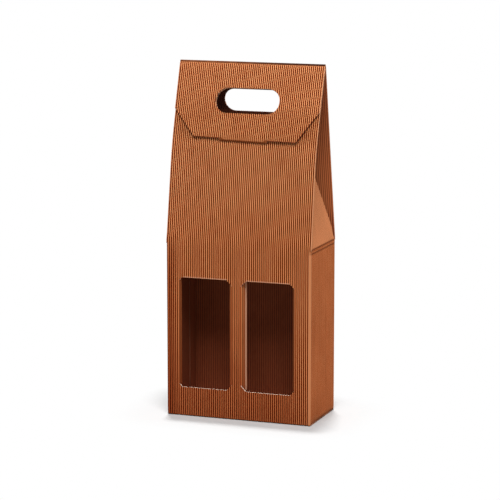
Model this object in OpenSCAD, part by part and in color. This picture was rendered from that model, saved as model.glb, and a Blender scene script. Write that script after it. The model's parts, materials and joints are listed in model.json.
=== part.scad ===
/* [Box] */
// Outer width across the front
body_w = 170; // [160:1:200]
// Outer depth from front to back
body_d = 85; // [78:1:100]
// Height of the straight walls, up to the side creases
wall_h = 196; // [185:1:230]
// Height of the ridge above the table
ridge_h = 396; // [370:1:430]
// How far the ridge sits behind the middle of the box
ridge_back = 4; // [0:0.5:8]
// Tilt of the upper part of the front gable, above its slight bend at the slit
front_tilt = 16.5; // [15:0.5:18]

/* [Card] */
// Thickness of the card over the flute crests
card_t = 1.6; // [1.3:0.1:2.2]
// Depth of the open flutes on the outer face
flute_depth = 0.7; // [0.3:0.05:0.9]
// Wanted spacing of the flutes
flute_pitch = 2.45; // [2.2:0.05:5]
// Inner radius of the upright folds
fold_in_r = 0.4; // [0.2:0.1:1.5]

/* [Windows] */
// Width of a window between its two creases
window_w = 63; // [50:1:68]
// Height of a window
window_h = 125; // [90:1:135]
// Height of the window sill above the table
window_sill = 33; // [25:1:45]
// Width of the post between the windows
window_post = 10; // [8:0.5:20]
// How far the windows and their post sit to the left of the middle
window_shift = 2.2; // [0:0.1:4]
// Size of the slanted cut across each window corner
window_corner = 8; // [6:0.5:12]
// Width of the flange folded in along each side of a window
flange_w = 8; // [5:0.5:10]
// Fold of the flange on the outer side of the left window
flange_angle_1 = 88; // [25:1:90]
// Fold of the flange on the left of the post
flange_angle_2 = 57; // [25:1:90]
// Fold of the flange on the right of the post
flange_angle_3 = 33; // [25:1:90]
// Fold of the flange on the outer side of the right window
flange_angle_4 = 57; // [25:1:90]

/* [Handle] */
// Length of the hand slot
slot_w = 75; // [60:1:100]
// Height of the hand slot
slot_h = 29; // [24:0.5:34]
// Distance from the ridge down to the middle of the hand slot
slot_drop = 43; // [34:1:48]
// How much smaller the slot in the back gable is cut, all round
back_slot_trim = 1.8; // [0:0.1:3]

/* [Closing flap] */
// Length of the flap from the ridge to its lower edge
flap_len = 85; // [78:1:92]
// Length of the flap's straight sides
flap_side_len = 54; // [40:1:65]
// Width of the flap's lower edge
flap_tip_w = 118; // [90:1:140]
// Radius of the flap's lower corners
flap_corner_r = 4; // [2:0.5:8]
// Width of the tongue in its slit
tongue_w = 56; // [40:1:70]
// Length of the tongue, measured along its curve
tongue_len = 14; // [8:1:18]
// How far the bend of the tongue hangs below the flap's lower edge
tongue_hang = 2.4; // [1:0.1:3]

/* [Gussets] */
// Height of a gusset above its crease
gusset_h = 80; // [60:1:95]
// Height of the gusset's edges along the gables
gusset_edge_h = 18; // [8:1:25]
// Width of the gusset at its top
gusset_tip_w = 14; // [8:1:24]
// Angle by which the gussets lean in
gusset_lean = 10; // [3:0.5:14]

/* [Bottom] */
// Length of the dust flaps that fold in from the sides
dust_flap_len = 58; // [40:1:70]
// Step of the hooked seam between the front and back bottom flaps
hook_step = 16; // [8:1:24]
// Width of the glue tab inside the back corner
glue_tab_w = 18; // [12:1:25]

/* [Hidden] */
$fn = 48;
card_colour = "#a5603a";
flap_colour = "#b06a42";

// Card at the creases: the flutes are pressed flat there
web_t = card_t - flute_depth;
crease_w = 2.4;
crease_press = 0.1;
fold_out_r = fold_in_r + card_t;
score_gap = 0.25;
fold_edge = 0.6;
overrun = 1;

// Clearances of the closing flap against the carton
ridge_half_gap = 0.6;
hinge_gap = 0.3;
flap_clear = 0.3;
slit_clear = 0.5;
slit_below = 1.3;
tongue_inset = 0.3;
front_short = 3.5;
bend_below = 3.2;

// Smaller pieces
window_r = 1.5;
flange_t = 1.25;
flange_gap = 0.6;
flange_lap = 0.2;
flange_swell = 0.05;
gusset_clear = 0.6;
gusset_r = 2.6;
tongue_r = 4;
tongue_taper = 3;
seam_gap = 0.8;
bottom_r = 0.8;
dust_flap_taper = 14;
glue_tab_taper = 12;

// Ridge: the hinge line of the closing flap runs through the middle of its bead
ridge_r = ridge_half_gap + web_t;
hinge_y = ridge_back;
hinge_z = ridge_h - ridge_r;

// Gable panels, by the line of their inner faces. off is the distance from the hinge line out to that line.
half_in = body_d / 2 - card_t;
front_off = ridge_half_gap - flap_clear - card_t;
back_off = ridge_half_gap;

// Back gable: straight from the wall to the ridge
back_reach = half_in - hinge_y;
gable_rise = hinge_z - wall_h;
back_tilt = atan2(back_reach, gable_rise) - asin(back_off / norm([back_reach, gable_rise]));
back_run = sqrt(back_reach * back_reach + gable_rise * gable_rise - back_off * back_off);

// Front gable: bent a little at a score line just below the slit, with a lower part from there to the wall
tongue_drop = flap_len + tongue_hang;
bend_drop = tongue_drop + bend_below;
bend_y = hinge_y - bend_drop * sin(front_tilt) - front_off * cos(front_tilt);
bend_z = hinge_z - bend_drop * cos(front_tilt) + front_off * sin(front_tilt);
foot_tilt = atan2(bend_y + half_in, bend_z - wall_h);
foot_run = norm([bend_y + half_in, bend_z - wall_h]);

// Tongue: its outer face runs around the hinge line
tongue_path_r = norm([tongue_drop, ridge_half_gap]) - tongue_inset;

// Windows: left and right crease of each, and the fold of the flange along each crease
post_left = -window_shift - window_post / 2;
post_right = -window_shift + window_post / 2;
windows = [[post_left - window_w, post_left], [post_right, post_right + window_w]];
flange_angles = [[flange_angle_1, flange_angle_2], [flange_angle_3, flange_angle_4]];

// Gussets: half of the width at the crease and at the top of the edges, clear of the gable panels
gusset_foot = half_in - gusset_clear;
gusset_slope = tan(max(foot_tilt, back_tilt));
gusset_half = gusset_foot - gusset_edge_h * gusset_slope;

// Flutes: the outer face of a panel as [place across, distance out of the inner face]
function flute_run(width) = width - 2 * (fold_out_r + fold_edge);
function flute_count(width) = round(flute_run(width) / flute_pitch);
function flute_step(width) = flute_run(width) / (2 * flute_count(width));
function flute_face(width) = [
    for (i = [0 : 2 * flute_count(width)])
        [i * flute_step(width) - flute_run(width) / 2, i % 2 == 0 ? card_t : web_t]
];
function panel_outline(width, edge) = concat(
    [[-edge / 2, 0], [-edge / 2, card_t]],
    flute_face(width),
    [[edge / 2, card_t], [edge / 2, 0]]
);

// Outline with round corners, for a convex list of points that runs counterclockwise
function unit(v) = v / norm(v);
function corner_turn(p, i) = let(
    n = len(p),
    a = unit(p[(i + n - 1) % n] - p[i]),
    b = unit(p[(i + 1) % n] - p[i])
) [a, b, acos(a * b) / 2];
function corner_tangents(p, i, r) = let(c = corner_turn(p, i), d = r / tan(c[2]))
    [p[i] + c[0] * d, p[i] + c[1] * d];
function corner_centre(p, i, r) = let(c = corner_turn(p, i)) p[i] + unit(c[0] + c[1]) * r / sin(c[2]);

module rounded_outline(points, r) {
    polygon([for (i = [0 : len(points) - 1]) each corner_tangents(points, i, r)]);
    for (i = [0 : len(points) - 1])
        translate(corner_centre(points, i, r))
            circle(r);
}

module obround(length, height) {
    square([length - height, height], center = true);
    for (side = [-1, 1])
        translate([side * (length - height) / 2, 0])
            circle(d = height);
}

// Section of a fluted panel: inner face along y = 0, flutes towards -Y
module panel_section(width, edge) {
    polygon([for (p = panel_outline(width, edge)) [p[0], -p[1]]]);
}

// Prism of an upright outline, running along Y through a panel near y = 0
module through_panel(depth) {
    translate([0, depth / 2, 0])
        rotate([90, 0, 0])
            linear_extrude(depth)
                children();
}

// Frames on the gables: Z runs up the panel and -Y out of the box.
// The origin is on the hinge line, or at the foot of the front gable.
module on_front() {
    translate([0, hinge_y, hinge_z])
        rotate([-front_tilt, 0, 0])
            children();
}

module on_front_foot() {
    translate([0, -half_in, wall_h])
        rotate([-foot_tilt, 0, 0])
            children();
}

module on_back() {
    translate([0, hinge_y, hinge_z])
        rotate([back_tilt, 0, 0])
            rotate(180)
                children();
}

module hand_slot(trim = 0) {
    translate([0, 0, -slot_drop])
        through_panel(2 * (3 * card_t + overrun))
            obround(slot_w - 2 * trim, slot_h - 2 * trim);
}

// Front or back wall, in the frame of a wall on the -Y side
module wall() {
    translate([0, -half_in, card_t])
        linear_extrude(wall_h - score_gap - card_t)
            panel_section(body_w, body_w - 2 * fold_out_r);
    translate([0, -half_in, 0])
        score_web(0, wall_h, -1);
}

// Thin web that carries the card across a score line, from the line along the sheet and a little past it
module score_web(off, line, way) {
    width = body_w - 2 * fold_out_r - 2 * overrun;
    from = line - (way > 0 ? score_gap : crease_w);
    translate([-width / 2, crease_press - off - web_t, from])
        cube([width, web_t - 2 * crease_press, crease_w + score_gap]);
}

// Sheet of a gable in its frame, from one height up to another, with its inner face off from the origin
module gable_sheet(off, from, to) {
    translate([0, -off, from])
        linear_extrude(to - from)
            panel_section(body_w, body_w);
}

// Pressed strip of card below the ridge
module pressed_strip(off) {
    translate([-body_w / 2, -off - crease_press - web_t, -2 * crease_w])
        cube([body_w, web_t, 2 * crease_w]);
}

// Front wall: windows between creases, with a flange folded in along each side
module window_outline(left, right) {
    c = window_corner;
    low = window_sill;
    high = window_sill + window_h;
    rounded_outline([
        [left + c, low], [right - c, low], [right, low + c], [right, high - c],
        [right - c, high], [left + c, high], [left, high - c], [left, low + c]
    ], window_r);
}

// Flange along one jamb, bent in around an axis just inside the card
module window_flange(angle) {
    span = window_h - 2 * window_corner - 2 * flange_gap;
    lap = flange_lap;
    translate([0, fold_in_r, 0]) {
        rotate(-90)
            rotate_extrude(angle = angle)
                translate([fold_in_r, 0])
                    square([flange_t + flange_swell, span]);
        rotate(angle)
            translate([0, -fold_in_r, 0])
                rotate([90, 0, 0])
                    linear_extrude(flange_t)
                        polygon([
                            [-lap, lap], [flange_w, -flange_w],
                            [flange_w, span + flange_w], [-lap, span - lap]
                        ]);
    }
}

module front_wall() {
    difference() {
        wall();
        translate([0, -half_in, 0])
            through_panel(2 * (card_t + overrun))
                for (w = windows)
                    window_outline(w[0] + flange_lap, w[1] - flange_lap);
    }
    for (i = [0, 1])
        translate([0, -half_in, window_sill + window_corner + flange_gap]) {
            translate([windows[i][0], 0, 0])
                window_flange(flange_angles[i][0]);
            translate([windows[i][1], 0, 0])
                mirror([1, 0, 0])
                    window_flange(flange_angles[i][1]);
        }
}

// Side wall, pressed crease and gusset, in the frame of the wall on the -Y side of a turned box
module gusset_outline() {
    tip = gusset_tip_w / 2;
    rounded_outline([
        [-gusset_foot, 0], [gusset_foot, 0], [gusset_half, gusset_edge_h],
        [tip, gusset_h], [-tip, gusset_h], [-gusset_half, gusset_edge_h]
    ], gusset_r);
}

module side_wall() {
    inner = body_w / 2 - card_t;
    foot = gusset_foot - gusset_r * gusset_slope;
    translate([0, -inner, card_t])
        linear_extrude(wall_h - card_t - crease_w)
            panel_section(body_d, body_d - 2 * fold_out_r);
    translate([-body_d / 2 + fold_out_r, -inner - web_t, wall_h - 2 * crease_w])
        cube([body_d - 2 * fold_out_r, web_t, 2 * crease_w]);
    translate([0, -inner - web_t, wall_h])
        rotate([-gusset_lean, 0, 0])
            translate([0, web_t, 0]) {
                translate([-foot, -web_t, -gusset_r])
                    cube([2 * foot, web_t, 2 * gusset_r]);
                intersection() {
                    translate([0, 0, crease_w / 2])
                        linear_extrude(gusset_h)
                            panel_section(body_d, body_d);
                    through_panel(2 * (card_t + overrun))
                        gusset_outline();
                }
            }
}

// Upright folds at the four corners
module corner_folds() {
    for (sx = [-1, 1], sy = [-1, 1])
        translate([sx * (body_w / 2 - fold_out_r), sy * (body_d / 2 - fold_out_r), card_t])
            rotate(sx > 0 ? (sy > 0 ? 0 : -90) : (sy > 0 ? 90 : 180))
                rotate_extrude(angle = 90)
                    translate([fold_in_r, 0])
                        square([card_t, wall_h - card_t]);
}

// Bottom: front and back flaps hooked along a stepped seam, under dust flaps from the sides
module edge_rounded_strip(width, length) {
    rotate([90, 0, 90])
        linear_extrude(length, center = true) {
            translate([-width / 2 + bottom_r, 0])
                square([width - 2 * bottom_r, card_t]);
            translate([-width / 2, bottom_r])
                square([width, card_t - bottom_r]);
            for (side = [-1, 1])
                translate([side * (width / 2 - bottom_r), bottom_r])
                    circle(bottom_r);
        }
}

// Plan of the bottom, with its corners cut off below the upright folds
module plan_outline() {
    x = body_w / 2;
    y = body_d / 2;
    c = fold_out_r / 2;
    polygon([
        [c - x, -y], [x - c, -y], [x, c - y], [x, y - c],
        [x - c, y], [c - x, y], [-x, y - c], [-x, c - y]
    ]);
}

module seam() {
    reach = body_w / 2 - 2 * card_t;
    for (side = [-1, 1])
        translate([side > 0 ? 0 : -reach, side * hook_step / 2 - seam_gap / 2, -overrun])
            cube([reach, seam_gap, card_t + overrun]);
    translate([-seam_gap / 2, -hook_step / 2 - seam_gap / 2, -overrun])
        cube([seam_gap, hook_step + seam_gap, card_t + overrun]);
}

module bottom() {
    difference() {
        intersection() {
            edge_rounded_strip(body_d, body_w);
            rotate(90)
                edge_rounded_strip(body_w, body_d);
            translate([0, 0, -overrun])
                linear_extrude(card_t + 2 * overrun)
                    plan_outline();
        }
        seam();
    }
    half = body_d / 2 - card_t;
    for (side = [-1, 1])
        rotate(side > 0 ? 0 : 180)
            translate([body_w / 2 - card_t, 0, card_t])
                linear_extrude(card_t)
                    polygon([
                        [0, -half], [0, half],
                        [-dust_flap_len, half - dust_flap_taper],
                        [-dust_flap_len, -half + dust_flap_taper]
                    ]);
}

// Glue tab: runs on from the back wall and is stuck to the inside of the left wall
module glue_tab() {
    low = 3 * card_t;
    high = wall_h - 2 * crease_w;
    translate([-body_w / 2 + card_t, half_in, 0])
        rotate([90, 0, 90])
            linear_extrude(web_t)
                polygon([
                    [0, low], [0, high],
                    [-glue_tab_w, high - glue_tab_taper], [-glue_tab_w, low + glue_tab_taper]
                ]);
}

// Bead of the ridge fold and the pressed crease below it on the back gable
module ridge_fold() {
    rotate([0, 90, 0])
        cylinder(r = ridge_r, h = body_w, center = true);
    pressed_strip(back_off);
}

module tongue_slit() {
    width = tongue_w + 2 * slit_clear;
    height = card_t + slit_clear + slit_below;
    translate([-width / 2, -card_t, -tongue_drop - slit_below])
        cube([width, 4 * card_t, height]);
}

module carton() {
    color(card_colour) {
        front_wall();
        on_front_foot() {
            gable_sheet(0, score_gap, foot_run - score_gap);
            score_web(0, 0, 1);
            score_web(0, foot_run, -1);
        }
        on_front() {
            difference() {
                gable_sheet(front_off, score_gap - bend_drop, -front_short);
                hand_slot();
                tongue_slit();
            }
            score_web(front_off, -bend_drop, 1);
        }
        rotate(180)
            wall();
        on_back() {
            difference() {
                gable_sheet(back_off, score_gap - back_run, -crease_w);
                hand_slot(back_slot_trim);
            }
            score_web(back_off, -back_run, 1);
            ridge_fold();
        }
        for (turn = [90, -90])
            rotate(turn)
                side_wall();
        corner_folds();
        bottom();
        glue_tab();
    }
}

// Closing flap: outline of the sheet in the frame of the front gable
module flap_outline() {
    top = flap_corner_r + ridge_r;
    rounded_outline([
        [-flap_tip_w / 2, -flap_len], [flap_tip_w / 2, -flap_len],
        [body_w / 2, -flap_side_len], [body_w / 2, top],
        [-body_w / 2, top], [-body_w / 2, -flap_side_len]
    ], flap_corner_r);
    translate([-tongue_w / 2, -tongue_drop])
        square([tongue_w, tongue_hang + flap_corner_r]);
}

module flap_sheet() {
    intersection() {
        gable_sheet(ridge_half_gap, -tongue_drop - overrun, -crease_w);
        through_panel(2 * (3 * card_t + overrun))
            flap_outline();
    }
    pressed_strip(ridge_half_gap);
}

// Tongue: bent in along an arc around the hinge line, so that it swings out through its slit
module tongue() {
    start = atan2(ridge_half_gap + web_t / 2, tongue_drop);
    sweep = tongue_len * 180 / (PI * tongue_path_r);
    half = tongue_w / 2;
    intersection() {
        rotate([-start, 0, 0])
            rotate([0, 90, 0])
                rotate_extrude(angle = sweep)
                    translate([tongue_path_r - card_t, -half])
                        square([card_t, tongue_w]);
        translate([0, -ridge_half_gap, -tongue_path_r - overrun])
            linear_extrude(2 * card_t + 2 * overrun)
                rounded_outline([
                    [-half, -2 * tongue_r], [half, -2 * tongue_r],
                    [half - tongue_taper, tongue_len], [-half + tongue_taper, tongue_len]
                ], tongue_r);
    }
}

module closing_flap() {
    color(flap_colour)
        on_front() {
            difference() {
                flap_sheet();
                hand_slot();
                rotate([0, 90, 0])
                    cylinder(r = ridge_r + hinge_gap, h = body_w + 2 * overrun, center = true);
            }
            tongue();
        }
}

carton();
closing_flap();
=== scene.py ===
"""Builds the looks of a two-bottle carton of open-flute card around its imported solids."""

import json
import math
from types import SimpleNamespace

import bpy
import numpy as np
from bpy.props import FloatProperty, FloatVectorProperty, IntProperty, PointerProperty
from bpy.types import Operator, Panel, PropertyGroup
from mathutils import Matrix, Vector


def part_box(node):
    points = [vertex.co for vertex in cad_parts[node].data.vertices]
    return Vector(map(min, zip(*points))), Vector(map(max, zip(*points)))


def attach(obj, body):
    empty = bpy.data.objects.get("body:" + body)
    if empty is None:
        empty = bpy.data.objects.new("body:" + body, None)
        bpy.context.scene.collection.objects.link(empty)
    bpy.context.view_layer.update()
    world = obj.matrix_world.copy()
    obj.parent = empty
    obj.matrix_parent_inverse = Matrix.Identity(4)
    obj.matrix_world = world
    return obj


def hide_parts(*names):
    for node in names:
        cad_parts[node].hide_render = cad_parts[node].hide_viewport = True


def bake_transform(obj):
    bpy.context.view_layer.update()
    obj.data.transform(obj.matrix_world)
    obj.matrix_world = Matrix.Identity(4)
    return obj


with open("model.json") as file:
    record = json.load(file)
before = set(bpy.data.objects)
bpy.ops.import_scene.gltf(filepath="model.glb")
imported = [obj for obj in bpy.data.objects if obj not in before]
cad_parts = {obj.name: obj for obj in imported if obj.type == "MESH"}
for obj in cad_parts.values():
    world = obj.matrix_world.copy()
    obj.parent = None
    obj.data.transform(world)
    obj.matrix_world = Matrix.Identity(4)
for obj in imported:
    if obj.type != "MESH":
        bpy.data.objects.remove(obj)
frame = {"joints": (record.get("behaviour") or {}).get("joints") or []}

bl_info = {
    "name": "Fluted Bottle Carton",
    "version": (1, 0, 0),
    "blender": (4, 5, 0),
    "location": "View3D > Sidebar > Carton",
    "description": "Folds a gable-top carton from one sheet of open-flute card",
    "category": "Object",
}

MM = 0.001
OUTSIDE, LINER, CUT = 0, 1, 2  # finishes of a sheet's faces
FAR_IN = 9.0  # stored as the distance to a free edge, in millimetres, where that edge has no look of its own
PER_FLUTE = 6  # columns of the mesh to a flute
PER_BEND = 6  # rows of the mesh to a bend
PLAIN_STRIP = 0.6  # millimetres without flutes beside an upright fold
FOLD_PRESS = 0.4  # how far the flutes are pressed at a fold


def srgb(r, g, b):
    """Linear colour of an 8-bit display colour."""

    def linear(c):
        c /= 255
        return c / 12.92 if c <= 0.04045 else ((c + 0.055) / 1.055) ** 2.4

    return (linear(r), linear(g), linear(b))


CARTON_LOW, CARTON_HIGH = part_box("carton")
HINGE = Vector(frame["joints"][0]["pos_m"])


def length(description, default):
    """A property for a length, given in millimetres and kept in metres."""
    return FloatProperty(description=description, default=default * MM, unit="LENGTH", precision=5)


def colour(description, default):
    """A property for a colour."""
    return FloatVectorProperty(description=description, default=default, subtype="COLOR", min=0, max=1)


def angle(description, degrees):
    """A property for an angle, given in degrees."""
    return FloatProperty(description=description, default=math.radians(degrees), unit="ROTATION")


class CartonSizes(PropertyGroup):
    """Sizes of the folded sheet."""

    width: length("Outer width across the front", (CARTON_HIGH.x - CARTON_LOW.x) / MM)
    depth: length("Outer depth from front to back", (CARTON_HIGH.y - CARTON_LOW.y) / MM)
    wall: length("Height of the straight walls", 196)
    card: length("Thickness of the card over its flute crests", 1.6)
    flute: length("Depth of the open flutes", 0.7)
    pitch: length("Wanted spacing of the flutes", 2.26)
    fold: length("Inner radius of the pressed folds", 0.4)
    shoulder: length("Radius of the soft bend from a wall into its gable", 80)
    belly: length("Radius of the slight bend of the front gable at the slit", 400)
    front_tilt: angle("Tilt of the front gable above the slit", 16.5)
    ridge_gap: length("Inner radius of the fold over the ridge", 0.6)
    flap_gap: length("Clearance between the closing flap and the gable", 0.3)
    front_short: length("Distance from the ridge line to the top of the front gable", 3.5)
    crease: length("Width of the pressed crease under the ridge", 0.9)
    bulge: length("How far the front gable bulges out half-way up", 3.0)
    twist: length("How much more it bulges on its right, and less on its left", 1.6)
    lift: length("How far the lower edge of the closing flap stands off the gable", 0.9)


class WindowSizes(PropertyGroup):
    """Sizes of the windows, the hand slot and the pieces that fold."""

    window: length("Width of a window between its creases", 63)
    height: length("Height of a window", 125)
    sill: length("Height of the window sills", 33)
    post: length("Width of the post between the windows", 10)
    shift: length("How far the windows sit to the left of the middle", 2.2)
    corner: length("Slanted cut across a window corner", 6.5)
    flange: length("Width of the flanges along the window sides", 8)
    slot: length("Length of the hand slot", 75)
    slot_height: length("Height of the hand slot", 29)
    slot_drop: length("Distance from the ridge line to the middle of the slot", 43)
    slot_trim: length("How much smaller the slot in the back is, all round", 1.8)
    flap: length("Length of the closing flap", 85)
    flap_side: length("Length of the flap's straight sides", 54)
    flap_tip: length("Width of the flap's lower edge", 118)
    flap_skew: length("How much longer the flap is at its right corner than at its left", 2.9)
    flap_wide: length("How much further out the flap's right corner lies", 2.5)
    tongue: length("Width of the tongue", 56)
    tongue_len: length("Length of the tongue", 14)
    tongue_hang: length("How far the tongue's bend hangs below the flap", 3.4)
    gusset: length("Height of a gusset", 80)
    gusset_edge: length("Height of a gusset's edges along the gables", 18)
    gusset_tip: length("Width of a gusset at its top", 14)
    gusset_lean: angle("Angle by which the gussets lean in", 10)
    dust_flap: length("Length of the dust flaps", 58)
    hook: length("Step of the seam between the bottom flaps", 16)


class CardLook(PropertyGroup):
    """Colours of the card and detail of its flutes."""

    # the crest colour is a painted highlight on the flute crests
    crest: colour("Colour of the flute crests", srgb(247, 194, 136))
    slope: colour("Colour of the sides of the flutes", srgb(208, 86, 26))
    # the trough colour is painted shade between the flutes
    trough: colour("Colour between the flutes", srgb(48, 8, 1))
    flat: colour("Colour of the outer face where its flutes are pressed flat", srgb(182, 113, 71))
    liner: colour("Colour of the flat inner face", srgb(164, 84, 48))
    cut: colour("Colour of the cut edges", srgb(236, 176, 138))
    # colour of rubbed card, also used as painted highlight on the gussets, the right gable edges and the
    # front right corner
    scuff: colour("Colour of rubbed card", srgb(228, 152, 104))
    uneven: FloatProperty(description="Variation of the flute depth", default=0.25, min=0, max=1)
    washboard: length("Depth of the waves that show through the liner", 0.05)
    seed: IntProperty(description="Seed of the card's irregularities", default=7)


class StageLook(PropertyGroup):
    """Floor, light and camera."""

    floor: colour("Colour of the floor", (0.55, 0.55, 0.55))
    sky: FloatProperty(description="Strength of the soft light from all around", default=0.22)
    lamp: FloatProperty(description="Strength of the broad lamp", default=3.0)
    overhead: FloatProperty(description="Strength of the lamp overhead", default=2.5)
    azimuth: angle("Direction of the camera round the carton", 20.02)
    elevation: angle("Height of the camera over the horizon", 9.91)
    distance: length("Distance of the camera from its target", 2604.7)
    target: FloatVectorProperty(
        description="Point the camera looks at", default=(-0.00129, 0, 0.1857), unit="LENGTH"
    )
    lens: FloatProperty(description="Focal length in millimetres", default=167.67)


def smooth(edge0, edge1, x):
    """Smooth step from 0 at edge0 to 1 at edge1."""
    t = min(max((x - edge0) / (edge1 - edge0), 0.0), 1.0)
    return t * t * (3 - 2 * t)


def soft_ramp(x, r):
    """max(0, x) with its corner rounded over r."""
    return 0.5 * (x + math.hypot(x, r)) - 0.5 * r * math.exp(-abs(x) / r)


class Profile:
    """Side view of a sheet's inner face, made of lines and arcs.

    A point is (distance out of the wall, height) and the heading turns from upright towards the box.
    """

    def __init__(self, out, height, heading):
        self.pieces, self.end = [], 0.0
        self.out, self.height, self.heading = out, height, heading

    @staticmethod
    def moved(out, height, heading, radius, run):
        """(out, height, heading) after a run along a line, or along an arc if there is a radius."""
        if radius is None:
            return out - run * math.sin(heading), height + run * math.cos(heading), heading
        now = heading + run / radius
        out += radius * (math.cos(now) - math.cos(heading))
        return out, height + radius * (math.sin(now) - math.sin(heading)), now

    def line(self, run, radius=None):
        """Goes on straight, or along an arc if there is a radius."""
        piece = (self.out, self.height, self.heading, radius)
        self.pieces.append((self.end, *piece))
        self.out, self.height, self.heading = self.moved(*piece, run)
        self.end += run
        return self

    def arc(self, radius, turn):
        return self.line(radius * turn, radius)

    def at(self, v):
        """(out, height, heading) at a distance along the sheet."""
        start, *piece = [p for p in self.pieces if p[0] <= max(v, 0) + 1e-9][-1]
        return self.moved(*piece, v - start)

    def rows(self, per_arc):
        """Places along the sheet that its arcs need."""
        ends = [p[0] for p in self.pieces] + [self.end]
        out = []
        for piece, end in zip(self.pieces, ends[1:]):
            out.append(piece[0])
            if piece[4] is not None:
                out += [piece[0] + (end - piece[0]) * i / per_arc for i in range(1, per_arc)]
        return out + [self.end]


class Sheet:
    """Folded card as one closed mesh: outer and inner faces over the same cells, joined along the cuts."""

    def __init__(self):
        self.index, self.points, self.triangles = {}, [], []

    def vertex(self, place):
        """Number of the vertex at a place, which is new if none is there yet."""
        key = tuple(round(c, 3) for c in place[0])
        if key not in self.index:
            self.index[key] = len(self.points)
            self.points.append(place if len(place) > 5 else (*place, FAR_IN))
        return self.index[key]

    def patch(self, columns, spans, rows, place, edge=math.inf, edge_rows=()):
        """Adds strips along the flutes. spans(u) gives the stretches of card at u, place(u, v) what is there.

        The strips are cut across at the rows, and past the edge at the edge rows too.
        """
        hair, near, slack = 1e-5, 0.15, 1e-3
        before = [spans(u - hair) if i else [] for i, u in enumerate(columns)]
        after = [spans(u + hair) if i < len(columns) - 1 else [] for i, u in enumerate(columns)]
        stops = []
        for u, left, right in zip(columns, before, after):
            here = [*rows, *edge_rows] if abs(u) > edge else rows
            ends = {round(e, 4) for span in left + right for e in span}
            inside = {
                round(r, 4) for r in here if any(lo + near < r < hi - near for lo, hi in left + right)
            }
            inside = {r for r in inside if all(abs(r - e) > near for e in ends)}
            stops.append(sorted(ends | inside))
        first = len(self.triangles)
        for i in range(len(columns) - 1):
            if len(after[i]) != len(before[i + 1]):
                raise RuntimeError(f"the card's outline changes between {columns[i]} and {columns[i + 1]}")
            for (lo0, hi0), (lo1, hi1) in zip(after[i], before[i + 1]):
                a = [v for v in stops[i] if lo0 - slack <= v <= hi0 + slack]
                b = [v for v in stops[i + 1] if lo1 - slack <= v <= hi1 + slack]
                self.zip_strip(columns[i], a, columns[i + 1], b, place)
        if first < len(self.triangles):
            corner = [np.array(self.points[k][0]) for k in self.triangles[first]]
            facing = np.cross(corner[1] - corner[0], corner[2] - corner[0])
            if facing @ np.array(self.points[self.triangles[first][0]][1]) < 0:
                self.triangles[first:] = [t[::-1] for t in self.triangles[first:]]

    def zip_strip(self, ua, a, ub, b, place):
        """Fills the strip between the stops a of one column and the stops b of the next with triangles."""
        va = [self.vertex(place(ua, v)) for v in a]
        vb = [self.vertex(place(ub, v)) for v in b]
        i = j = 0
        while i < len(a) - 1 or j < len(b) - 1:
            if j == len(b) - 1 or (i < len(a) - 1 and a[i + 1] <= b[j + 1]):
                cell = (va[i], vb[j], va[i + 1])
                i += 1
            else:
                cell = (va[i], vb[j], vb[j + 1])
                j += 1
            if len(set(cell)) == 3:
                self.triangles.append(cell)

    def mesh(self, name, web):
        """Plain mesh in metres with the attributes that the flutes are raised from."""
        n = len(self.points)
        inner = np.array([p[0] for p in self.points])
        normal = np.array([p[1] for p in self.points])
        outer = inner + normal * web
        tri = np.array(self.triangles)
        edges = {(a, b) for t in self.triangles for a, b in ((t[0], t[1]), (t[1], t[2]), (t[2], t[0]))}
        rim = sorted((a, b) for a, b in edges if (b, a) not in edges)
        faces = tri.tolist() + (tri[:, ::-1] + n).tolist() + [(b, a, a + n, b + n) for a, b in rim]
        mesh = bpy.data.meshes.new(name)
        mesh.from_pydata((np.vstack([outer, inner]) * MM).tolist(), [], faces)

        def store(label, kind, domain, values, key="value"):
            mesh.attributes.new(label, kind, domain).data.foreach_set(key, values)

        store("finish", "INT", "FACE", [OUTSIDE] * len(tri) + [LINER] * len(tri) + [CUT] * len(rim))
        twice = np.vstack([normal, normal]).astype(np.float32)
        store("sheet_normal", "FLOAT_VECTOR", "POINT", twice.ravel(), "vector")
        for k, label in enumerate(("phase", "press", "plain", "inset")):
            store(label, "FLOAT", "POINT", np.array([p[2 + k] for p in self.points] * 2, np.float32))
        store("outer", "FLOAT", "POINT", np.repeat(np.array([1, 0], np.float32), n))
        rims = {frozenset(e) for e in rim} | {frozenset((a + n, b + n)) for a, b in rim}
        store("sharp_edge", "BOOLEAN", "EDGE", [frozenset(e.vertices) in rims for e in mesh.edges])
        mesh.polygons.foreach_set("use_smooth", [True] * len(mesh.polygons))
        return mesh


def math_node(operation):
    """Operator of a Flow that adds a Math node."""
    return lambda self, other: self.math(operation, self, other)


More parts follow.
